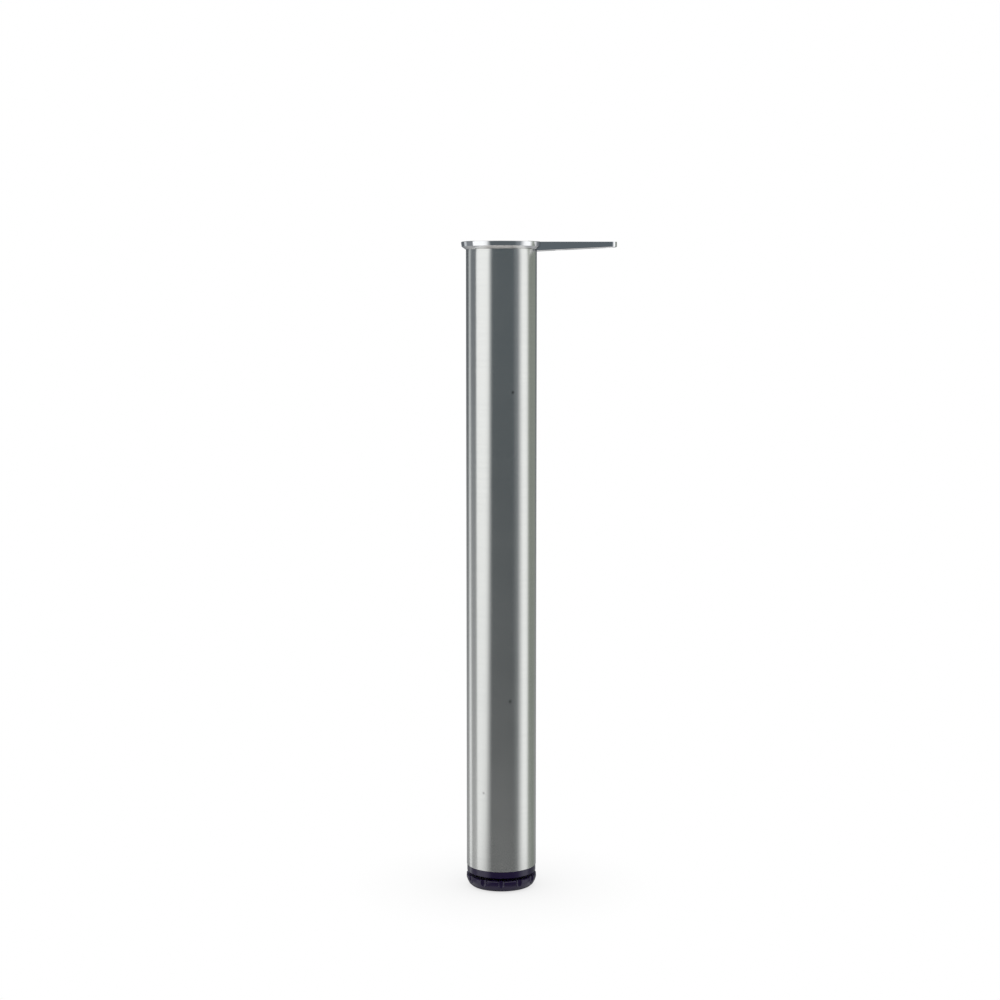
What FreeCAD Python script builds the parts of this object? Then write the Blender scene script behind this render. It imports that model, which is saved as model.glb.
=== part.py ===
import FreeCAD
import Part
import math
import os

# Height adjustable table leg, in millimetres. The floor is z = 0 and the leg's axis is Z.
# One arm of the mounting plate points along +X and the other along +Y, for a table corner at -X -Y.

# Whole leg
leg_height = 705.0  # table face to floor, with the foot screwed fully in
foot_travel = 28.5  # how far the foot screws out

# Leg tube
tube_diameter = 76.2
tube_wall = 1.5
tube_edge_break = 0.4

# Mounting plate: flange against the table, hub inside the tube
flange_overhang = 5.2  # flange beyond the tube, at the table face
flange_height = 8.1
flange_rim = 5.1  # upright part of the flange edge, above its chamfer
flange_draft = 0.6
flange_lip = 0.3  # lower edge of the chamfer beyond the tube
flange_edge_chamfer = 0.5
web_thickness = 5.0
hub_clearance = 0.2
hub_depth = 36.0
hub_wall = 4.0
hub_lead_in = 1.5
hub_rib_thickness = 3.0
hub_rib_depth = 16.0

# Mounting plate: two arms, cored out on the table side
arm_angles = (0.0, 90.0)
arm_reach = 124.0  # leg axis to arm tip
arm_axis_width = 19.0  # width of the tapered arm, carried back to the leg axis
arm_tip_radius = 8.0
arm_root_depth = 9.7  # depth under the table at the flange edge
arm_tip_depth = 5.6
arm_edge_radius = 1.0
arm_wall = 2.6
arm_floor = 2.8
arm_rib_thickness = 2.4
arm_tube_gap = 0.6

# Wood screw holes in the plate
screw_hole_diameter = 5.5
screw_head_diameter = 10.5
screw_boss_diameter = 13.0
arm_inner_screw = 62.0  # leg axis to the inner hole of an arm
hub_screw_circle = 44.0
hub_screw_count = 3

# Lock: a grub screw in a weld nut inside the tube, pressing on the hub
lock_angle = 45.0  # between the arms, facing the middle of the table
lock_drop = 18.0  # below the top of the tube
lock_screw_diameter = 8.0
lock_screw_length = 10.0
lock_screw_recess = 0.5  # below the outside of the tube
lock_key_size = 4.0
lock_key_depth = 4.5
lock_point_chamfer = 1.5
lock_hole_clearance = 0.3
lock_nut_side = 14.0
lock_nut_height = 6.5
lock_slot_clearance = 2.0  # beside and above the weld nut in the hub's slot
lock_seat_gap = 0.1

# Foot plug in the lower end of the tube
collar_setback = 0.4  # collar inside the outside of the tube
collar_height = 7.4
collar_edge_chamfer = 0.6
plug_depth = 40.0  # sleeve inside the tube
plug_wall = 3.0
plug_floor = 4.0
plug_fit = 0.05
crush_rib_height = 0.6
crush_rib_width = 2.0
crush_rib_count = 12
plug_boss_wall = 4.5  # round the corners of the nut
plug_boss_height = 30.0
plug_web_count = 6
plug_web_thickness = 2.6
plug_web_height = 22.0
plug_lead_in = 1.2

# Foot spindle, a hex bolt, and its nut
spindle_diameter = 10.0
spindle_spare = 11.5  # thread above the nut with the foot fully out
spindle_end_chamfer = 1.2
spindle_guide_clearance = 0.4
thread_gap = 0.05
hex_size = 16.0  # across flats, bolt head and nut
bolt_head_height = 6.4
nut_height = 8.4
hex_corner_chamfer = 0.9
hex_gap = 0.1  # nut and bolt head in their pockets

# Foot disc
foot_overhang = 0.4  # beyond the tube
foot_height = 12.1  # lower edge to the top of the rim
foot_base_inset = 5.3  # lower edge inside the widest part
foot_heel_inset = 2.9  # first corner of the side, going up
foot_heel_rise = 2.0
foot_side_inset = 1.1  # second corner of the side
foot_side_rise = 5.3
foot_band_rise = 8.8  # lower edge to the widest part
foot_upper_chamfer = 0.8
foot_top_dish = 1.5  # floor of the dished top, below the rim
foot_rim_width = 7.0
flute_count = 12
flute_radius = 4.5
flute_depth = 2.4
flute_floor = 3.5  # plain band of the foot below the flutes
stop_boss_rise = 3.2  # centre boss above the rim, meets the plug
stop_boss_wall = 4.0
stop_gap = 0.1
bolt_head_floor = 1.5  # under the bolt head

# Floor glide, which the foot turns on
glide_setback = 8.4  # edge of the glide inside the edge of the foot
glide_thickness = 3.0
glide_stand = 1.2  # below the foot disc
glide_edge_chamfer = 0.8
glide_gap = 0.3
glide_seat_gap = 0.1
snap_setback = 6.0  # edge of the glide to the middle of the snap ring
snap_width = 3.0
snap_height = 3.0
snap_bead = 0.5

# Radii worked out from the sizes above
tube_radius = tube_diameter / 2
tube_bore = tube_radius - tube_wall
flange_radius = tube_radius + flange_overhang
hub_radius = tube_bore - hub_clearance
hub_bore = hub_radius - hub_wall
spindle_radius = spindle_diameter / 2
hex_corner = hex_size / math.sqrt(3)
foot_radius = tube_radius + foot_overhang
glide_radius = foot_radius - glide_setback
snap_radius = glide_radius - snap_setback

# Heights worked out from the sizes above, from the floor up
glide_top = glide_thickness
foot_bottom = glide_stand
foot_recess = glide_top + glide_seat_gap
foot_rim_top = foot_bottom + foot_height
stop_boss_top = foot_rim_top + stop_boss_rise
bolt_head_bottom = foot_recess + bolt_head_floor
bolt_head_top = bolt_head_bottom + bolt_head_height
plug_bottom = stop_boss_top + stop_gap
nut_bottom = plug_bottom + hex_gap
nut_top = nut_bottom + nut_height
spindle_top = nut_top + foot_travel + spindle_spare
tube_bottom = plug_bottom + collar_height
flange_bottom = leg_height - flange_height
tube_top = flange_bottom
hub_bottom = flange_bottom - hub_depth
web_bottom = leg_height - web_thickness
lock_z = tube_top - lock_drop

# Lock, measured outwards from the leg axis
lock_screw_outer = tube_radius - lock_screw_recess
lock_screw_inner = lock_screw_outer - lock_screw_length
lock_slot_floor = lock_screw_inner - lock_seat_gap

# Room past a face, so that a cut goes right through it
over = 1.0


def vector(x, y, z=0.0):
    return FreeCAD.Vector(x, y, z)


def outline(start, *legs):
    """A closed wire of points in a plane: a leg of one point is a line, a leg of two is an arc."""
    edges = []
    here = start
    for leg in legs:
        if len(leg) == 2:
            edges.append(Part.Arc(here, leg[0], leg[1]).toShape())
        else:
            edges.append(Part.LineSegment(here, leg[0]).toShape())
        here = leg[-1]
    if here.distanceToPoint(start) > 1e-6:
        edges.append(Part.LineSegment(here, start).toShape())
    return Part.Wire(edges)


def section(r, z):
    """A point of a turned section, at radius r and height z."""
    return vector(r, 0, z)


def turned(start, *legs):
    face = Part.Face(outline(start, *legs))
    return face.revolve(vector(0, 0), vector(0, 0, 1), 360)


def post(radius, bottom, top, x=0.0, y=0.0):
    return Part.makeCylinder(radius, top - bottom, vector(x, y, bottom))


def block(x0, x1, width, bottom, top):
    """A block along X, centred on the X axis."""
    return Part.makeBox(x1 - x0, width, top - bottom, vector(x0, -width / 2, bottom))


def hexagon(size, bottom, top):
    corner = size / math.sqrt(3)
    points = []
    for i in range(6):
        angle = math.radians(60 * i)
        points.append(vector(corner * math.cos(angle), corner * math.sin(angle), bottom))
    return Part.Face(Part.makePolygon(points + points[:1])).extrude(vector(0, 0, top - bottom))


def spun(shape, degrees):
    turned_copy = shape.copy()
    turned_copy.rotate(vector(0, 0), vector(0, 0, 1), degrees)
    return turned_copy


def fan(shape, count, first=0.0):
    return [spun(shape, first + 360.0 * i / count) for i in range(count)]


def fused(shapes):
    return shapes[0].multiFuse(shapes[1:]).removeSplitter()


def chamfered_hex(size, bottom, top):
    """A hexagon with its corners turned off at both ends, as on a nut or a bolt head."""
    corner = size / math.sqrt(3)
    body = turned(
        section(0, bottom),
        [section(corner - hex_corner_chamfer, bottom)],
        [section(corner, bottom + hex_corner_chamfer / 2)],
        [section(corner, top - hex_corner_chamfer / 2)],
        [section(corner - hex_corner_chamfer, top)],
        [section(0, top)],
    )
    return hexagon(size, bottom, top).common(body)


def leg_tube():
    tube = turned(
        section(tube_bore, tube_bottom),
        [section(tube_radius - tube_edge_break, tube_bottom)],
        [section(tube_radius, tube_bottom + tube_edge_break)],
        [section(tube_radius, tube_top - tube_edge_break)],
        [section(tube_radius - tube_edge_break, tube_top)],
        [section(tube_bore, tube_top)],
    )
    hole_radius = lock_screw_diameter / 2 + lock_hole_clearance
    hole = Part.makeCylinder(hole_radius, tube_radius + over, vector(0, 0, lock_z), vector(1, 0, 0))
    return tube.cut(spun(hole, lock_angle))


def flange_and_hub():
    """The turned form of the plate: flange, web and open hub."""
    rim_z = leg_height - flange_rim
    return turned(
        section(0, leg_height),
        [section(flange_radius - flange_edge_chamfer, leg_height)],
        [section(flange_radius, leg_height - flange_edge_chamfer)],
        [section(flange_radius - flange_draft, rim_z)],
        [section(tube_radius + flange_lip, flange_bottom)],
        [section(hub_radius, flange_bottom)],
        [section(hub_radius, hub_bottom + hub_lead_in)],
        [section(hub_radius - hub_lead_in / 2, hub_bottom)],
        [section(hub_bore, hub_bottom)],
        [section(hub_bore, web_bottom)],
        [section(0, web_bottom)],
    )


def tapered_plan(axis_radius, tip_radius, tip_x, bottom, top):
    """The arm's plan, a tapered bar with a round tip, drawn tangent to both end circles."""
    slope = math.asin((axis_radius - tip_radius) / tip_x)
    across, along = math.cos(slope), math.sin(slope)
    root = vector(axis_radius * along, axis_radius * across, bottom)
    tip = vector(tip_x + tip_radius * along, tip_radius * across, bottom)
    mirrored_root = vector(root.x, -root.y, bottom)
    mirrored_tip = vector(tip.x, -tip.y, bottom)
    far = vector(tip_x + tip_radius, 0, bottom)
    wire = outline(mirrored_root, [mirrored_tip], [far, tip], [root])
    return Part.Face(wire).extrude(vector(0, 0, top - bottom))


def sloped_side(lift):
    """The arm seen from the side: shallower towards its tip, with its lower edge raised by lift."""
    slope = (arm_root_depth - arm_tip_depth) / (arm_reach - flange_radius)
    x_far = arm_reach + over
    root_z = leg_height - arm_root_depth - slope * flange_radius + lift
    far_z = leg_height - arm_root_depth + slope * (x_far - flange_radius) + lift
    half = arm_axis_width
    wire = outline(
        vector(0, -half, root_z),
        [vector(x_far, -half, far_z)],
        [vector(x_far, -half, leg_height)],
        [vector(0, -half, leg_height)],
    )
    return Part.Face(wire).extrude(vector(0, 2 * half, 0))


def screw_places():
    """Screw hole centres along an arm: one near the flange, one in the middle of the round tip."""
    return [arm_inner_screw, arm_reach - arm_tip_radius]


def arm():
    low = leg_height - 2 * arm_root_depth
    axis_radius = arm_axis_width / 2
    tip_x = arm_reach - arm_tip_radius
    bar = tapered_plan(axis_radius, arm_tip_radius, tip_x, low, leg_height).common(sloped_side(0))
    lower_edges = [e for e in bar.Edges if e.BoundBox.ZMax < leg_height - over and e.BoundBox.XMax > over]
    bar = bar.makeFillet(arm_edge_radius, lower_edges)

    # Hollow on the table side, with a boss round each hole and a rib between the bosses
    core = tapered_plan(axis_radius - arm_wall, arm_tip_radius - arm_wall, tip_x, low, leg_height)
    core = core.common(sloped_side(arm_floor)).cut(post(flange_radius, low, leg_height))
    bosses = [post(screw_boss_diameter / 2, low, leg_height, x) for x in screw_places()]
    rib = block(0, tip_x, arm_rib_thickness, low, leg_height)
    bar = bar.cut(core.cut(fused(bosses + [rib])))

    # The root stops short of the tube and leaves the hub open
    bar = bar.cut(post(tube_radius + arm_tube_gap, low, flange_bottom))
    return bar.cut(post(hub_bore, low, web_bottom))


def screw_cutter(x, face_z):
    """A clearance hole with a countersink that opens downwards at face_z."""
    hole_radius = screw_hole_diameter / 2
    head_radius = screw_head_diameter / 2
    sink = head_radius - hole_radius
    cutter = turned(
        section(0, face_z - over),
        [section(head_radius + over, face_z - over)],
        [section(hole_radius, face_z + sink)],
        [section(hole_radius, leg_height + over)],
        [section(0, leg_height + over)],
    )
    cutter.translate(vector(x, 0))
    return cutter


def arm_face_z(x):
    """Height of the arm's sloping lower face at a distance from the leg axis."""
    share = (x - flange_radius) / (arm_reach - flange_radius)
    return leg_height - arm_root_depth + share * (arm_root_depth - arm_tip_depth)


def lock_housing():
    """Walls round the hub's slot, in which the weld nut slides up as the tube goes on."""
    inner = lock_slot_floor - hub_wall
    width = lock_nut_side + 2 * lock_slot_clearance + 2 * hub_wall
    walls = block(inner, hub_radius, width, hub_bottom, web_bottom)
    return spun(walls.common(post(hub_bore + hub_wall / 2, hub_bottom, web_bottom)), lock_angle)


def lock_slot():
    width = lock_nut_side + 2 * lock_slot_clearance
    slot_top = lock_z + lock_nut_side / 2 + lock_slot_clearance
    return spun(block(lock_slot_floor, tube_radius, width, hub_bottom - over, slot_top), lock_angle)


def mounting_plate():
    arms = [spun(arm(), angle) for angle in arm_angles]
    rib = block(0, hub_bore + hub_wall / 2, hub_rib_thickness, web_bottom - hub_rib_depth, web_bottom)
    ribs = fan(rib, hub_screw_count, lock_angle)
    plate = fused([flange_and_hub(), lock_housing()] + ribs + arms).cut(lock_slot())
    hub_screw = screw_cutter(hub_screw_circle / 2, web_bottom)
    cutters = fan(hub_screw, hub_screw_count, lock_angle + 180.0 / hub_screw_count)
    for angle in arm_angles:
        cutters += [spun(screw_cutter(x, arm_face_z(x)), angle) for x in screw_places()]
    for cutter in cutters:
        plate = plate.cut(cutter)
    return plate


def lock_nut():
    inner = tube_bore - lock_nut_height
    half = lock_nut_side / 2
    body = block(inner, tube_radius, lock_nut_side, lock_z - half, lock_z + half)
    body = body.common(post(tube_bore - plug_fit, lock_z - half, lock_z + half))
    bore_radius = lock_screw_diameter / 2 + thread_gap
    bore = Part.makeCylinder(bore_radius, tube_radius, vector(0, 0, lock_z), vector(1, 0, 0))
    return spun(body.cut(bore), lock_angle)


def lock_screw():
    """A hex socket grub screw with a chamfered point, pointing at the leg axis."""
    radius = lock_screw_diameter / 2
    body = turned(
        section(0, lock_screw_inner),
        [section(radius - lock_point_chamfer, lock_screw_inner)],
        [section(radius, lock_screw_inner + lock_point_chamfer)],
        [section(radius, lock_screw_outer)],
        [section(0, lock_screw_outer)],
    )
    screw = body.cut(hexagon(lock_key_size, lock_screw_outer - lock_key_depth, lock_screw_outer + over))
    screw.rotate(vector(0, 0), vector(0, 1, 0), 90)
    screw.translate(vector(0, 0, lock_z))
    return spun(screw, lock_angle)


def foot_plug():
    collar = tube_radius - collar_setback
    sleeve = tube_bore - plug_fit - crush_rib_height
    sleeve_bore = sleeve - plug_wall
    sleeve_top = tube_bottom + plug_depth
    floor_top = plug_bottom + plug_floor
    shell = turned(
        section(0, plug_bottom),
        [section(collar - collar_edge_chamfer, plug_bottom)],
        [section(collar, plug_bottom + collar_edge_chamfer)],
        [section(collar, tube_bottom)],
        [section(sleeve, tube_bottom)],
        [section(sleeve, sleeve_top - plug_lead_in)],
        [section(sleeve - plug_lead_in / 2, sleeve_top)],
        [section(sleeve_bore, sleeve_top)],
        [section(sleeve_bore, floor_top)],
        [section(0, floor_top)],
    )
    boss_radius = hex_corner + plug_boss_wall
    boss = post(boss_radius, plug_bottom, plug_bottom + plug_boss_height)
    web_top = plug_bottom + plug_web_height
    web = block(0, sleeve_bore + plug_wall / 2, plug_web_thickness, plug_bottom, web_top)
    rib_top = sleeve_top - plug_lead_in
    rib = block(sleeve - plug_wall / 2, tube_radius, crush_rib_width, tube_bottom, rib_top)
    rib = rib.common(post(tube_bore - plug_fit, tube_bottom, sleeve_top))
    ribs = fan(rib, crush_rib_count, 180.0 / crush_rib_count)
    plug = fused([shell, boss] + fan(web, plug_web_count) + ribs)
    plug = plug.cut(hexagon(hex_size + 2 * hex_gap, plug_bottom - over, nut_top + hex_gap))
    return plug.cut(post(spindle_radius + spindle_guide_clearance, plug_bottom, sleeve_top))


def spindle_nut():
    bore = post(spindle_radius + thread_gap, nut_bottom - over, nut_top + over)
    return chamfered_hex(hex_size, nut_bottom, nut_top).cut(bore)


def foot_spindle():
    shank = turned(
        section(0, bolt_head_bottom),
        [section(spindle_radius, bolt_head_bottom)],
        [section(spindle_radius, spindle_top - spindle_end_chamfer)],
        [section(spindle_radius - spindle_end_chamfer, spindle_top)],
        [section(0, spindle_top)],
    )
    return fused([chamfered_hex(hex_size, bolt_head_bottom, bolt_head_top), shank])


def flute():
    """Cutter for one finger flute: an upright groove with a ball-shaped lower end, towards -Y."""
    flute_y = -(foot_radius + flute_radius - flute_depth)
    ball_z = foot_bottom + flute_floor + flute_radius
    ball = Part.makeSphere(flute_radius, vector(0, flute_y, ball_z))
    return post(flute_radius, ball_z, foot_rim_top + over, 0, flute_y).fuse(ball)


def snap_ring(grow, bottom, top):
    """Section of the glide's snap ring, with a bead on its outside that holds it in the foot."""
    inner = snap_radius - snap_width / 2 - grow
    outer = snap_radius + snap_width / 2 + grow
    bead_z = (bottom + top) / 2
    return turned(
        section(inner, bottom),
        [section(outer, bottom)],
        [section(outer, bead_z)],
        [section(outer + snap_bead, (bead_z + top) / 2)],
        [section(outer, top)],
        [section(inner, top)],
    )


def foot_disc():
    recess_radius = glide_radius + glide_gap
    dish_z = foot_rim_top - foot_top_dish
    rim_inner = foot_radius - foot_rim_width
    body = turned(
        section(0, foot_recess),
        [section(recess_radius, foot_recess)],
        [section(recess_radius, foot_bottom)],
        [section(foot_radius - foot_base_inset, foot_bottom)],
        [section(foot_radius - foot_heel_inset, foot_bottom + foot_heel_rise)],
        [section(foot_radius - foot_side_inset, foot_bottom + foot_side_rise)],
        [section(foot_radius, foot_bottom + foot_band_rise)],
        [section(foot_radius, foot_rim_top - foot_upper_chamfer)],
        [section(foot_radius - foot_upper_chamfer, foot_rim_top)],
        [section(rim_inner, foot_rim_top)],
        [section(rim_inner - foot_top_dish, dish_z)],
        [section(0, dish_z)],
    )
    disc = fused([body, post(hex_corner + stop_boss_wall, foot_recess, stop_boss_top)])
    disc = disc.cut(fan(flute(), flute_count))
    disc = disc.cut(hexagon(hex_size + 2 * hex_gap, bolt_head_bottom, stop_boss_top + over))
    return disc.cut(snap_ring(glide_gap, foot_recess, glide_top + snap_height + glide_gap))


def floor_glide():
    pad = turned(
        section(0, 0),
        [section(glide_radius - glide_edge_chamfer, 0)],
        [section(glide_radius, glide_edge_chamfer)],
        [section(glide_radius, glide_top)],
        [section(0, glide_top)],
    )
    return fused([pad, snap_ring(0, glide_top, glide_top + snap_height)])


pieces = {
    "mounting_plate": mounting_plate,
    "leg_tube": leg_tube,
    "lock_nut": lock_nut,
    "lock_screw": lock_screw,
    "foot_plug": foot_plug,
    "spindle_nut": spindle_nut,
    "foot_spindle": foot_spindle,
    "foot_disc": foot_disc,
    "floor_glide": floor_glide,
}

os.makedirs("parts", exist_ok=True)
for name, make in pieces.items():
    shape = make()
    box = shape.BoundBox
    print(f"{name}: {len(shape.Solids)} solid, valid {shape.isValid()}, {shape.Volume / 1000:.1f} cm3,"
          f" z {box.ZMin:.2f} to {box.ZMax:.2f}")
    shape.exportStep(f"parts/{name}.step")
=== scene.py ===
import bpy
import math
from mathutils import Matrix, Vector


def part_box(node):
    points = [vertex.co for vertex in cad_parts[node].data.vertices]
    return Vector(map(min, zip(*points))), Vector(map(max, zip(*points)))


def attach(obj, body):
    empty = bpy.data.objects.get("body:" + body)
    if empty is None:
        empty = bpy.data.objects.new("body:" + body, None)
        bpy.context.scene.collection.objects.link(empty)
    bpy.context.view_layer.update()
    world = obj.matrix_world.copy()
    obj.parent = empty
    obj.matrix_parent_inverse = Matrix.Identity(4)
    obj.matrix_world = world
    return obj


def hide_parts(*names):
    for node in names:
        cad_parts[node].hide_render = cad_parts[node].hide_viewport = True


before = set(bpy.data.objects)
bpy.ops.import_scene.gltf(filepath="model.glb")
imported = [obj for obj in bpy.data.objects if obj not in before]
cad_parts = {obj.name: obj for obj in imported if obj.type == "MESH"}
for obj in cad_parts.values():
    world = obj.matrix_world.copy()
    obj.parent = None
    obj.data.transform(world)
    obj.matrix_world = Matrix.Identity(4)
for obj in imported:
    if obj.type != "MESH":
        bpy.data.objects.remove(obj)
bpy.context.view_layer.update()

mm = 0.001
scene = bpy.context.scene
print("leg: frame loaded,", len(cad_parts), "nodes")


# small helpers

def hexColour(code):
    parts = [int(code[i:i + 2], 16) / 255 for i in (1, 3, 5)]
    linear = [p / 12.92 if p <= 0.04045 else ((p + 0.055) / 1.055) ** 2.4 for p in parts]
    return (*linear, 1.0)


def addNode(tree, kind, place, inputs=None, **settings):
    node = tree.nodes.new(kind)
    node.location = place
    for key, value in settings.items():
        setattr(node, key, value)
    for key, value in (inputs or {}).items():
        if isinstance(value, bpy.types.NodeSocket):
            tree.links.new(value, node.inputs[key])
        else:
            node.inputs[key].default_value = value
    return node


def newMaterial(name):
    material = bpy.data.materials.new(name)
    material.use_nodes = True
    material.node_tree.nodes.clear()
    return material, material.node_tree


def pick(piece):
    bpy.ops.object.select_all(action="DESELECT")
    piece.select_set(True)
    bpy.context.view_layer.objects.active = piece


def addShape(addPrimitive, name, **size):
    bpy.ops.object.select_all(action="DESELECT")  # operators act on all that is selected
    addPrimitive(**size)
    shape = bpy.context.object
    shape.name = name
    bpy.ops.object.transform_apply(location=True, rotation=True, scale=True)
    return shape


def editAll(piece):
    pick(piece)
    bpy.ops.object.mode_set(mode="EDIT")
    bpy.ops.mesh.select_mode(type="VERT")
    bpy.ops.mesh.select_all(action="SELECT")


def objectMode():
    bpy.ops.object.mode_set(mode="OBJECT")


def applyModifier(piece, name, kind, **settings):
    pick(piece)
    modifier = piece.modifiers.new(name, kind)
    for key, value in settings.items():
        setattr(modifier, key, value)
    bpy.ops.object.modifier_apply(modifier=name)


def selectEdges(piece, wanted):
    bpy.ops.mesh.select_all(action="DESELECT")
    bpy.ops.mesh.select_mode(type="EDGE")
    objectMode()
    points = piece.data.vertices
    for edge in piece.data.edges:
        edge.select = all(wanted(points[i].co) for i in edge.vertices)
    bpy.ops.object.mode_set(mode="EDIT")


def smoothShade(piece, degrees):
    pick(piece)
    bpy.ops.object.shade_smooth_by_angle(angle=math.radians(degrees))


cleaning = {"weld": 0.002 * mm, "flatAngle": 0.2, "sliver": 0.005 * mm}


def mergedCopy(node, name):
    # a CAD mesh is loose triangles, so the copy is welded and its flat faces joined up again
    piece = bpy.data.objects.new(name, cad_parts[node].data.copy())
    scene.collection.objects.link(piece)
    editAll(piece)
    bpy.ops.mesh.customdata_custom_splitnormals_clear()
    bpy.ops.mesh.remove_doubles(threshold=cleaning["weld"])
    bpy.ops.mesh.dissolve_limited(angle_limit=math.radians(cleaning["flatAngle"]))
    objectMode()
    return piece


def cutClean(piece, cutter, operation):
    # a boolean can leave slivers along its cut, which are merged away
    applyModifier(piece, "cut", "BOOLEAN", object=cutter, operation=operation, solver="EXACT")
    bpy.data.objects.remove(cutter)
    editAll(piece)
    bpy.ops.mesh.remove_doubles(threshold=cleaning["sliver"])
    bpy.ops.mesh.dissolve_degenerate(threshold=cleaning["sliver"])
    objectMode()


def softenEdges(piece, width, steps, degrees):
    applyModifier(piece, "softEdges", "BEVEL", width=width, segments=steps, limit_method="ANGLE",
                  angle_limit=math.radians(degrees), use_clamp_overlap=True)
    smoothShade(piece, degrees)
    applyModifier(piece, "flatFaces", "WEIGHTED_NORMAL", keep_sharp=True)


def dress(piece, node, body, slot):
    piece.data.materials.clear()
    piece.data.materials.append(materials[slot])
    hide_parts(node)
    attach(piece, body)
    print("leg:", piece.name, len(piece.data.polygons), "faces")


# stainless tube, belt ground round its girth: the fine rings stretch every reflection up and down the leg
steel = {
    "light": "#d7d6d2", "dark": "#cccbc8", "darkSpot": "#3a3d3e",
    "lineSpacing": 1.1 * mm,  # real lines are about 0.2 mm apart, drawn coarser so that they show
    "lineLength": 90 * mm, "lineHeight": 0.02 * mm, "lineStrength": 0.02,
    "cloud": 60 * mm,  # patches where the belt pressed harder
    "cloudSpan": (0.35, 0.65), "roughness": (0.235, 0.265),
    "anisotropy": 0.82, "stretchTurn": 0.25,  # a quarter turn, from round the tube to along it
    # mm across from the axis and up from the floor, and how deep in colour
    "darkSpots": [(12.2, 545, 1.0), (9.3, 212, 1.0), (-19.4, 110.5, 0.4)],
    "darkSpotRadius": 2.0 * mm,
}


def brushedStainless():
    material, tree = newMaterial("brushed stainless steel")
    place = addNode(tree, "ShaderNodeTexCoord", (-1400, 0))
    stretch = (1 / steel["lineLength"], 1 / steel["lineLength"], 1 / steel["lineSpacing"])
    rings = addNode(tree, "ShaderNodeMapping", (-1200, 100),
                    {"Vector": place.outputs["Object"], "Scale": stretch})
    lines = addNode(tree, "ShaderNodeTexNoise", (-1000, 100),
                    {"Vector": rings.outputs["Vector"], "Scale": 1.0, "Detail": 3.0, "Roughness": 0.65})
    clouds = addNode(tree, "ShaderNodeTexNoise", (-1000, -150),
                     {"Vector": place.outputs["Object"], "Scale": 1 / steel["cloud"], "Detail": 2.0})
    tone = addNode(tree, "ShaderNodeMix", (-700, 250),
                   {0: lines.outputs["Fac"], 6: hexColour(steel["dark"]), 7: hexColour(steel["light"])},
                   data_type="RGBA")
    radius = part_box("leg_tube")[1].x
    for i, (across, up, depth) in enumerate(steel["darkSpots"]):  # small dark spots painted on the front of the tube
        x = across * mm
        spot = (x, -math.sqrt(radius ** 2 - x ** 2), up * mm)
        away = addNode(tree, "ShaderNodeVectorMath", (-700, 450 + 160 * i),
                       {0: place.outputs["Object"], 1: spot}, operation="DISTANCE")
        fade = addNode(tree, "ShaderNodeMapRange", (-500, 450 + 160 * i),
                       {"Value": away.outputs["Value"], "From Min": 0.0, "From Max": steel["darkSpotRadius"],
                        "To Min": depth, "To Max": 0.0})
        tone = addNode(tree, "ShaderNodeMix", (-300, 450 + 160 * i),
                       {0: fade.outputs["Result"], 6: tone.outputs[2], 7: hexColour(steel["darkSpot"])},
                       data_type="RGBA")
    rough = addNode(tree, "ShaderNodeMapRange", (-700, -50),
                    {"Value": clouds.outputs["Fac"],
                     "From Min": steel["cloudSpan"][0], "From Max": steel["cloudSpan"][1],
                     "To Min": steel["roughness"][0], "To Max": steel["roughness"][1]})
    bump = addNode(tree, "ShaderNodeBump", (-700, -300),
                   {"Height": lines.outputs["Fac"], "Strength": steel["lineStrength"],
                    "Distance": steel["lineHeight"]})
    tangent = addNode(tree, "ShaderNodeTangent", (-700, -500), direction_type="RADIAL", axis="Z")
    shader = addNode(tree, "ShaderNodeBsdfPrincipled", (-100, 100),
                     {"Base Color": tone.outputs[2], "Metallic": 1.0, "Roughness": rough.outputs["Result"],
                      "Anisotropic": steel["anisotropy"], "Anisotropic Rotation": steel["stretchTurn"],
                      "Normal": bump.outputs["Normal"], "Tangent": tangent.outputs["Tangent"]})
    addNode(tree, "ShaderNodeOutputMaterial", (200, 100), {"Surface": shader.outputs["BSDF"]})
    return material


noiseSpan = (0.3, 0.7)  # most of a noise pattern lies between these


# zinc die-casting, polished and chrome plated: a mirror with a trace of the casting's waviness
chrome = {
    "colour": "#e3e2e2", "roughness": (0.05, 0.10),
    "wave": 6 * mm, "waveHeight": 0.02 * mm, "waveStrength": 0.25,
}


def platedChrome():
    material, tree = newMaterial("chrome plated die casting")
    place = addNode(tree, "ShaderNodeTexCoord", (-1000, 0))
    waves = addNode(tree, "ShaderNodeTexNoise", (-800, 0),
                    {"Vector": place.outputs["Object"], "Scale": 1 / chrome["wave"], "Detail": 2.0})
    rough = addNode(tree, "ShaderNodeMapRange", (-500, 0),
                    {"Value": waves.outputs["Fac"], "From Min": noiseSpan[0], "From Max": noiseSpan[1],
                     "To Min": chrome["roughness"][0], "To Max": chrome["roughness"][1]})
    bump = addNode(tree, "ShaderNodeBump", (-500, -250),
                   {"Height": waves.outputs["Fac"], "Strength": chrome["waveStrength"],
                    "Distance": chrome["waveHeight"]})
    shader = addNode(tree, "ShaderNodeBsdfPrincipled", (-200, 0),
                     {"Base Color": hexColour(chrome["colour"]), "Metallic": 1.0,
                      "Roughness": rough.outputs["Result"], "Normal": bump.outputs["Normal"]})
    addNode(tree, "ShaderNodeOutputMaterial", (100, 0), {"Surface": shader.outputs["BSDF"]})
    return material


# moulded nylon, coloured black in the mass: semi-gloss with a violet cast, and the faint grain of the mould
nylon = {
    "name": "black moulded nylon", "deep": "#190d2f", "raised": "#1f1238",
    "roughness": (0.15, 0.25), "ior": 1.53, "specular": 0.42,
    "grain": 0.7 * mm, "detail": 3.0, "curl": 0.0, "grainHeight": 0.02 * mm, "grainStrength": 0.3,
}

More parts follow.
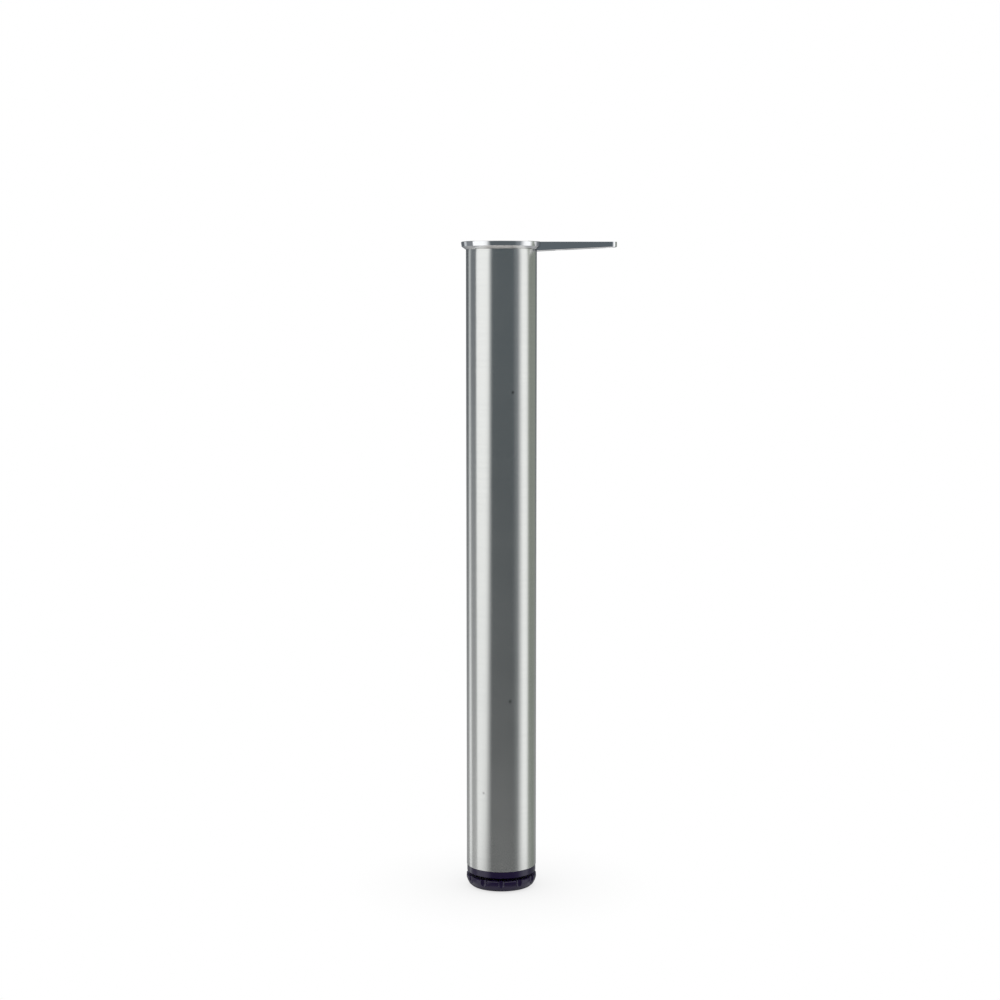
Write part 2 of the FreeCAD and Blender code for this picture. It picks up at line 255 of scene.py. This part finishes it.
# moulded acetal, grey: waxy and satin, with fine curling scuffs where it slides on the floor
acetal = {
    "name": "grey moulded acetal", "deep": "#5d5e61", "raised": "#6b6c6f",
    "roughness": (0.42, 0.58), "ior": 1.48, "specular": 0.5,
    "grain": 1.4 * mm, "detail": 4.0, "curl": 1.5, "grainHeight": 0.02 * mm, "grainStrength": 0.25,
}


def mouldedPlastic(plastic):
    material, tree = newMaterial(plastic["name"])
    place = addNode(tree, "ShaderNodeTexCoord", (-1000, 0))
    grain = addNode(tree, "ShaderNodeTexNoise", (-800, 0),
                    {"Vector": place.outputs["Object"], "Scale": 1 / plastic["grain"],
                     "Detail": plastic["detail"], "Distortion": plastic["curl"]})
    tone = addNode(tree, "ShaderNodeMix", (-500, 250),
                   {0: grain.outputs["Fac"], 6: hexColour(plastic["deep"]), 7: hexColour(plastic["raised"])},
                   data_type="RGBA")
    rough = addNode(tree, "ShaderNodeMapRange", (-500, 0),
                    {"Value": grain.outputs["Fac"], "From Min": noiseSpan[0], "From Max": noiseSpan[1],
                     "To Min": plastic["roughness"][0], "To Max": plastic["roughness"][1]})
    bump = addNode(tree, "ShaderNodeBump", (-500, -250),
                   {"Height": grain.outputs["Fac"], "Strength": plastic["grainStrength"],
                    "Distance": plastic["grainHeight"]})
    shader = addNode(tree, "ShaderNodeBsdfPrincipled", (-200, 0),
                     {"Base Color": tone.outputs[2], "Roughness": rough.outputs["Result"],
                      "IOR": plastic["ior"], "Specular IOR Level": plastic["specular"],
                      "Normal": bump.outputs["Normal"]})
    addNode(tree, "ShaderNodeOutputMaterial", (100, 0), {"Surface": shader.outputs["BSDF"]})
    return material


# hardened steel with a black oxide skin: dark and oily, worn a little paler in patches
oxide = {
    "name": "black oxide steel", "tones": ("#26272a", "#3b3c40"), "roughness": (0.30, 0.48),
    "patch": 2.5 * mm,
}

# steel with bright zinc plating: pale, with a faint drift between blue and straw
zinc = {
    "name": "bright zinc plated steel", "tones": ("#b4bac0", "#bdb9a6"), "roughness": (0.22, 0.38),
    "patch": 5 * mm,
}


def mottledSteel(skin):
    material, tree = newMaterial(skin["name"])
    place = addNode(tree, "ShaderNodeTexCoord", (-1000, 0))
    patches = addNode(tree, "ShaderNodeTexNoise", (-800, 0),
                      {"Vector": place.outputs["Object"], "Scale": 1 / skin["patch"], "Detail": 4.0})
    tone = addNode(tree, "ShaderNodeMix", (-500, 250),
                   {0: patches.outputs["Fac"],
                    6: hexColour(skin["tones"][0]), 7: hexColour(skin["tones"][1])},
                   data_type="RGBA")
    rough = addNode(tree, "ShaderNodeMapRange", (-500, 0),
                    {"Value": patches.outputs["Fac"], "From Min": noiseSpan[0], "From Max": noiseSpan[1],
                     "To Min": skin["roughness"][0], "To Max": skin["roughness"][1]})
    shader = addNode(tree, "ShaderNodeBsdfPrincipled", (-200, 0),
                     {"Base Color": tone.outputs[2], "Metallic": 1.0, "Roughness": rough.outputs["Result"]})
    addNode(tree, "ShaderNodeOutputMaterial", (100, 0), {"Surface": shader.outputs["BSDF"]})
    return material


materials = {
    "brushed_steel": brushedStainless(),
    "plated_casting": platedChrome(),
    "black_nylon": mouldedPlastic(nylon),
    "zinc_steel": mottledSteel(zinc),
    "black_oxide_steel": mottledSteel(oxide),
    "grey_acetal": mouldedPlastic(acetal),
}
print("leg: materials made,", len(materials))


# leg tube
tube = {
    "segments": 192, "lipRound": 0.35 * mm, "lipSteps": 3, "near": 0.05 * mm, "smoothAngle": 35,
    "holeClearance": 0.3 * mm, "holeSegments": 64,
    "ringReach": 2.0,  # from the key hole's centre to the rings round it, in radii of the hole
    "drillReach": 4.0,  # length of the drill that cuts it, in thicknesses of the wall
}


def buildTube():
    low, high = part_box("leg_tube")
    outer = high.x
    wall = outer - min(v.co.xy.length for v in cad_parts["leg_tube"].data.vertices)
    screwLow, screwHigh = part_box("lock_screw")
    hole = (screwLow + screwHigh) / 2
    holeRadius = (screwHigh.z - screwLow.z) / 2 + tube["holeClearance"]
    piece = addShape(bpy.ops.mesh.primitive_cylinder_add, "brushedTube", vertices=tube["segments"],
                     radius=outer, depth=high.z - low.z, end_fill_type="NOTHING",
                     location=(0, 0, (low.z + high.z) / 2))
    editAll(piece)
    for side in (-1, 1):  # rings above and below the key hole keep its cut local
        bpy.ops.mesh.select_all(action="SELECT")
        ring = hole.z + side * tube["ringReach"] * holeRadius
        bpy.ops.mesh.bisect(plane_co=(0, 0, ring), plane_no=(0, 0, 1))
    objectMode()
    applyModifier(piece, "wall", "SOLIDIFY", thickness=wall, offset=-1, use_even_offset=True)
    editAll(piece)
    near = tube["near"]
    ends = (low.z, high.z)
    selectEdges(piece, lambda p: min(abs(p.z - end) for end in ends) < near and p.xy.length > outer - near)
    bpy.ops.mesh.bevel(offset=tube["lipRound"], segments=tube["lipSteps"])
    objectMode()
    turn = math.atan2(hole.y, hole.x)
    mouth = (outer * math.cos(turn), outer * math.sin(turn), hole.z)
    drill = addShape(bpy.ops.mesh.primitive_cylinder_add, "keyHoleDrill", vertices=tube["holeSegments"],
                     radius=holeRadius, depth=tube["drillReach"] * wall, location=mouth,
                     rotation=(0, math.pi / 2, turn))
    cutClean(piece, drill, "DIFFERENCE")
    smoothShade(piece, tube["smoothAngle"])
    dress(piece, "leg_tube", "leg", "brushed_steel")


buildTube()


# pieces that keep their CAD form and get softer edges
softening = {"steps": 2, "angle": 32}
softened = [
    {"node": "mounting_plate", "name": "mountingPlate", "body": "leg", "slot": "plated_casting",
     "edge": 0.35 * mm},
    {"node": "lock_nut", "name": "lockNut", "body": "leg", "slot": "zinc_steel", "edge": 0.25 * mm},
    {"node": "lock_screw", "name": "lockScrew", "body": "leg", "slot": "black_oxide_steel",
     "edge": 0.15 * mm},
    {"node": "foot_plug", "name": "footPlug", "body": "leg", "slot": "black_nylon", "edge": 0.3 * mm},
    {"node": "spindle_nut", "name": "spindleNut", "body": "leg", "slot": "zinc_steel", "edge": 0.15 * mm},
    {"node": "foot_disc", "name": "footDisc", "body": "foot", "slot": "black_nylon", "edge": 0.3 * mm},
    {"node": "floor_glide", "name": "floorGlide", "body": "glide", "slot": "grey_acetal", "edge": 0.2 * mm},
]
for entry in softened:
    piece = mergedCopy(entry["node"], entry["name"])
    softenEdges(piece, entry["edge"], softening["steps"], softening["angle"])
    dress(piece, entry["node"], entry["body"], entry["slot"])


# foot spindle: a hex bolt with its thread, which shows when the foot is screwed out
spindle = {
    "pitch": 1.5 * mm, "steps": 40, "spareTurns": 2, "weld": 0.01 * mm, "smoothAngle": 30,
    # radius and rise in mm along one turn of its outline
    "thread": [(4.08, 0.0), (4.08, 0.375), (4.95, 0.844), (4.95, 1.031), (4.08, 1.5)],
    "blankSides": 64, "endChamfer": 1.0 * mm, "chamferAngle": 60,
    "headSides": 6, "headEdge": 0.3 * mm, "headSteps": 2, "headAngle": 40,
    "headOverlap": 0.5 * mm,  # how far the thread runs into the head
    "headReach": 1.2,  # what stands out more than this many shank radii is the head
}


def buildThread(low, high):
    piece = addShape(bpy.ops.mesh.primitive_plane_add, "threadedSpindle", size=1 * mm, location=(0, 0, 0))
    editAll(piece)
    bpy.ops.mesh.merge(type="CENTER")  # down to one point, from which the outline is drawn
    here = Vector((0, 0, 0))
    start = low - spindle["spareTurns"] * spindle["pitch"]
    for i, (radius, rise) in enumerate(spindle["thread"]):
        there = Vector((radius * mm, 0, start + rise * mm))
        if i == 0:
            bpy.ops.transform.translate(value=there - here)
        else:
            bpy.ops.mesh.extrude_region_move(TRANSFORM_OT_translate={"value": there - here})
        here = there
    objectMode()
    turns = math.ceil((high - low) / spindle["pitch"]) + 2 * spindle["spareTurns"]
    applyModifier(piece, "helix", "SCREW", axis="Z", angle=2 * math.pi, screw_offset=spindle["pitch"],
                  iterations=turns, steps=spindle["steps"], render_steps=spindle["steps"])
    editAll(piece)
    bpy.ops.mesh.remove_doubles(threshold=spindle["weld"])
    for cut, side in ((low, -1), (high, 1)):  # trimmed square at both ends
        bpy.ops.mesh.select_all(action="SELECT")
        bpy.ops.mesh.bisect(plane_co=(0, 0, cut), plane_no=(0, 0, side), use_fill=True, clear_outer=True)
    bpy.ops.mesh.select_all(action="SELECT")
    bpy.ops.mesh.normals_make_consistent(inside=False)
    objectMode()
    return piece


def buildSpindle():
    low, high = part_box("foot_spindle")
    points = [v.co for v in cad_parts["foot_spindle"].data.vertices]
    corner = max(p.xy.length for p in points)
    shank = max(p.xy.length for p in points if p.z > (low.z + high.z) / 2)
    headTop = max(p.z for p in points if p.xy.length > spindle["headReach"] * shank)
    piece = buildThread(headTop - spindle["headOverlap"], high.z)
    blank = addShape(bpy.ops.mesh.primitive_cylinder_add, "spindleBlank", vertices=spindle["blankSides"],
                     radius=shank, depth=high.z - low.z, location=(0, 0, (low.z + high.z) / 2))
    applyModifier(blank, "startChamfer", "BEVEL", width=spindle["endChamfer"], segments=1,
                  limit_method="ANGLE", angle_limit=math.radians(spindle["chamferAngle"]))
    cutClean(piece, blank, "INTERSECT")
    smoothShade(piece, spindle["smoothAngle"])
    head = addShape(bpy.ops.mesh.primitive_cylinder_add, "spindleHead", vertices=spindle["headSides"],
                    radius=corner, depth=headTop - low.z, location=(0, 0, (low.z + headTop) / 2),
                    rotation=(0, 0, math.pi / 6))
    softenEdges(head, spindle["headEdge"], spindle["headSteps"], spindle["headAngle"])
    pick(piece)
    head.select_set(True)
    bpy.ops.object.join()
    dress(piece, "foot_spindle", "foot", "zinc_steel")


buildSpindle()


# studio: white floor and surround, and a tent of painted panels that only the gloss of the leg sees
studio = {
    "surround": "#ffffff", "floorSize": 14.0, "floorColour": "#d8d8d8",
    "shadowReach": 0.14, "shadowSamples": 12,
    "shadowDepth": 0.30, "glossShadowDepth": 1.0,  # gloss sees the full painted shadow close under the foot
    "tentSides": 120, "tentRadius": 2.6, "tentLow": -3.2, "tentHigh": 3.6, "tentLevel": 1.4,
    "fade": (-0.75, 0.6), "groundFade": (-1.6, -1.2),  # heights where one row of panels turns into the next
    # soft boxes and dark flags round the leg: from and to, in degrees from the camera and plus to the right,
    # then the share of the level and the tint
    "highRow": [
        (-180, -136, 0.12, "#eaf5ff"), (-131, -122, 0.50, "#f4fbff"), (-117, -91, 0.19, "#eaf5ff"),
        (-82, -44, 0.97, "#fafdff"), (-31, 38, 0.122, "#e0f3ff"), (48, 54, 0.22, "#eaf5ff"),
        (71, 89, 0.95, "#fafdff"), (102, 140, 0.26, "#f4fff4"), (152, 180, 0.12, "#eaf5ff"),
    ],
    # below the floor's level, where the lower end of the leg looks
    "lowRow": [
        (-180, -137, 0.31, "#fafdff"), (-131, -122, 0.90, "#fafdff"), (-117, -98, 0.35, "#fafdff"),
        (-86, -54, 0.89, "#fafdff"), (-35, 40, 0.088, "#f0faff"), (50, 56, 0.16, "#f0faff"),
        (78, 94, 0.92, "#fafdff"), (106, 140, 0.24, "#f4fff4"), (152, 180, 0.31, "#fafdff"),
    ],
    # far below, where the undersides and a raised camera look
    "groundRow": [
        (-180, -150, 0.30, "#fafdff"), (-138, -78, 0.80, "#fafdff"), (-55, 55, 0.22, "#fafdff"),
        (78, 138, 0.80, "#fafdff"), (150, 180, 0.30, "#fafdff"),
    ],
}


def buildFloor():
    floor = addShape(bpy.ops.mesh.primitive_plane_add, "studioFloor", size=studio["floorSize"],
                     location=(0, 0, 0))
    material, tree = newMaterial("white studio floor")
    paper = addNode(tree, "ShaderNodeBsdfDiffuse", (-500, -200), {"Color": hexColour(studio["floorColour"])})
    # camera, gloss and glass see the white surround through it, under a shadow painted from ambient
    # occlusion near the leg, so that a foot screwed out below the floor still shows
    ray = addNode(tree, "ShaderNodeLightPath", (-1100, 300))
    seen = addNode(tree, "ShaderNodeMath", (-800, 300),
                   {0: ray.outputs["Is Camera Ray"], 1: ray.outputs["Is Glossy Ray"]}, operation="MAXIMUM")
    seen = addNode(tree, "ShaderNodeMath", (-600, 300),
                   {0: seen.outputs["Value"], 1: ray.outputs["Is Transmission Ray"]}, operation="MAXIMUM")
    nearby = addNode(tree, "ShaderNodeAmbientOcclusion", (-1100, 0), {"Distance": studio["shadowReach"]},
                     samples=studio["shadowSamples"])
    # painted shadow: how dark the tint gets close under the leg, deeper for gloss than for the camera
    darkest = addNode(tree, "ShaderNodeMapRange", (-1000, 150),
                      {"Value": ray.outputs["Is Glossy Ray"], "To Min": 1 - studio["shadowDepth"],
                       "To Max": 1 - studio["glossShadowDepth"]})
    shadow = addNode(tree, "ShaderNodeMapRange", (-800, 0),
                     {"Value": nearby.outputs["AO"], "To Min": darkest.outputs["Result"], "To Max": 1.0})
    side = addNode(tree, "ShaderNodeNewGeometry", (-1100, -300))
    tint = addNode(tree, "ShaderNodeMath", (-600, 0),  # from below, the floor is not there
                   {0: shadow.outputs["Result"], 1: side.outputs["Backfacing"]}, operation="MAXIMUM")
    clear = addNode(tree, "ShaderNodeBsdfTransparent", (-400, 0), {"Color": tint.outputs["Value"]})
    surface = addNode(tree, "ShaderNodeMixShader", (-200, 0),
                      {0: seen.outputs["Value"], 1: paper.outputs["BSDF"], 2: clear.outputs["BSDF"]})
    addNode(tree, "ShaderNodeOutputMaterial", (0, 0), {"Surface": surface.outputs["Shader"]})
    floor.data.materials.append(material)


def panelRamp(tree, turn, place, row):
    ramp = addNode(tree, "ShaderNodeValToRGB", place, {"Fac": turn})
    stops = ramp.color_ramp.elements
    stops.remove(stops[1])
    for begin, finish, share, tint in row:
        for azimuth in (begin, finish):
            stop = stops.new(((azimuth + 90) % 360) / 360)
            stop.color = [share * part for part in hexColour(tint)[:3]] + [1.0]
    stops.remove(stops[0])
    return ramp.outputs["Color"]


def panelPaint():
    material, tree = newMaterial("tent panels")
    place = addNode(tree, "ShaderNodeTexCoord", (-1100, 0))
    turn = addNode(tree, "ShaderNodeTexGradient", (-900, 0), {"Vector": place.outputs["Object"]},
                   gradient_type="RADIAL")
    axes = addNode(tree, "ShaderNodeSeparateXYZ", (-900, 350), {"Vector": place.outputs["Object"]})
    paint = panelRamp(tree, turn.outputs["Fac"], (-700, -300), studio["groundRow"])
    rows = (("lowRow", "groundFade"), ("highRow", "fade"))
    for i, (row, edge) in enumerate(rows):
        upper = panelRamp(tree, turn.outputs["Fac"], (-700, 300 * i), studio[row])
        fade = addNode(tree, "ShaderNodeMapRange", (-400, 300 * i + 150),
                       {"Value": axes.outputs["Z"],
                        "From Min": studio[edge][0], "From Max": studio[edge][1]})
        mixed = addNode(tree, "ShaderNodeMix", (-200, 300 * i),
                        {0: fade.outputs["Result"], 6: paint, 7: upper}, data_type="RGBA")
        paint = mixed.outputs[2]
    glow = addNode(tree, "ShaderNodeEmission", (0, 0), {"Color": paint, "Strength": studio["tentLevel"]})
    addNode(tree, "ShaderNodeOutputMaterial", (200, 0), {"Surface": glow.outputs["Emission"]})
    return material


def buildTent():
    low, high = studio["tentLow"], studio["tentHigh"]
    tent = addShape(bpy.ops.mesh.primitive_cylinder_add, "lightTent", vertices=studio["tentSides"],
                    radius=studio["tentRadius"], depth=high - low, end_fill_type="NOTHING",
                    location=(0, 0, (low + high) / 2))
    tent.data.materials.append(panelPaint())
    tent.visible_camera = False
    tent.visible_diffuse = False
    tent.visible_shadow = False


def buildSurround():
    world = bpy.data.worlds.new("whiteStudio")
    scene.world = world
    world.use_nodes = True
    tree = world.node_tree
    tree.nodes.clear()
    sky = addNode(tree, "ShaderNodeBackground", (0, 0),
                  {"Color": hexColour(studio["surround"]), "Strength": 1.0})
    addNode(tree, "ShaderNodeOutputWorld", (200, 0), {"Surface": sky.outputs["Background"]})


buildFloor()
buildTent()
buildSurround()
print("leg: studio set")


# camera, at the photograph's place
view = {"place": (-0.0015, -2.1, 0.625), "pitchDown": 5.391, "lens": 69.88, "sensor": 36}
cameraData = bpy.data.cameras.new("photoCamera")
cameraData.lens = view["lens"]
cameraData.sensor_width = view["sensor"]
camera = bpy.data.objects.new("photoCamera", cameraData)
camera.location = view["place"]
camera.rotation_euler = (math.radians(90 - view["pitchDown"]), 0, 0)
scene.collection.objects.link(camera)
scene.camera = camera
scene.view_settings.view_transform = "Standard"

bpy.context.view_layer.update()
print("leg: done")
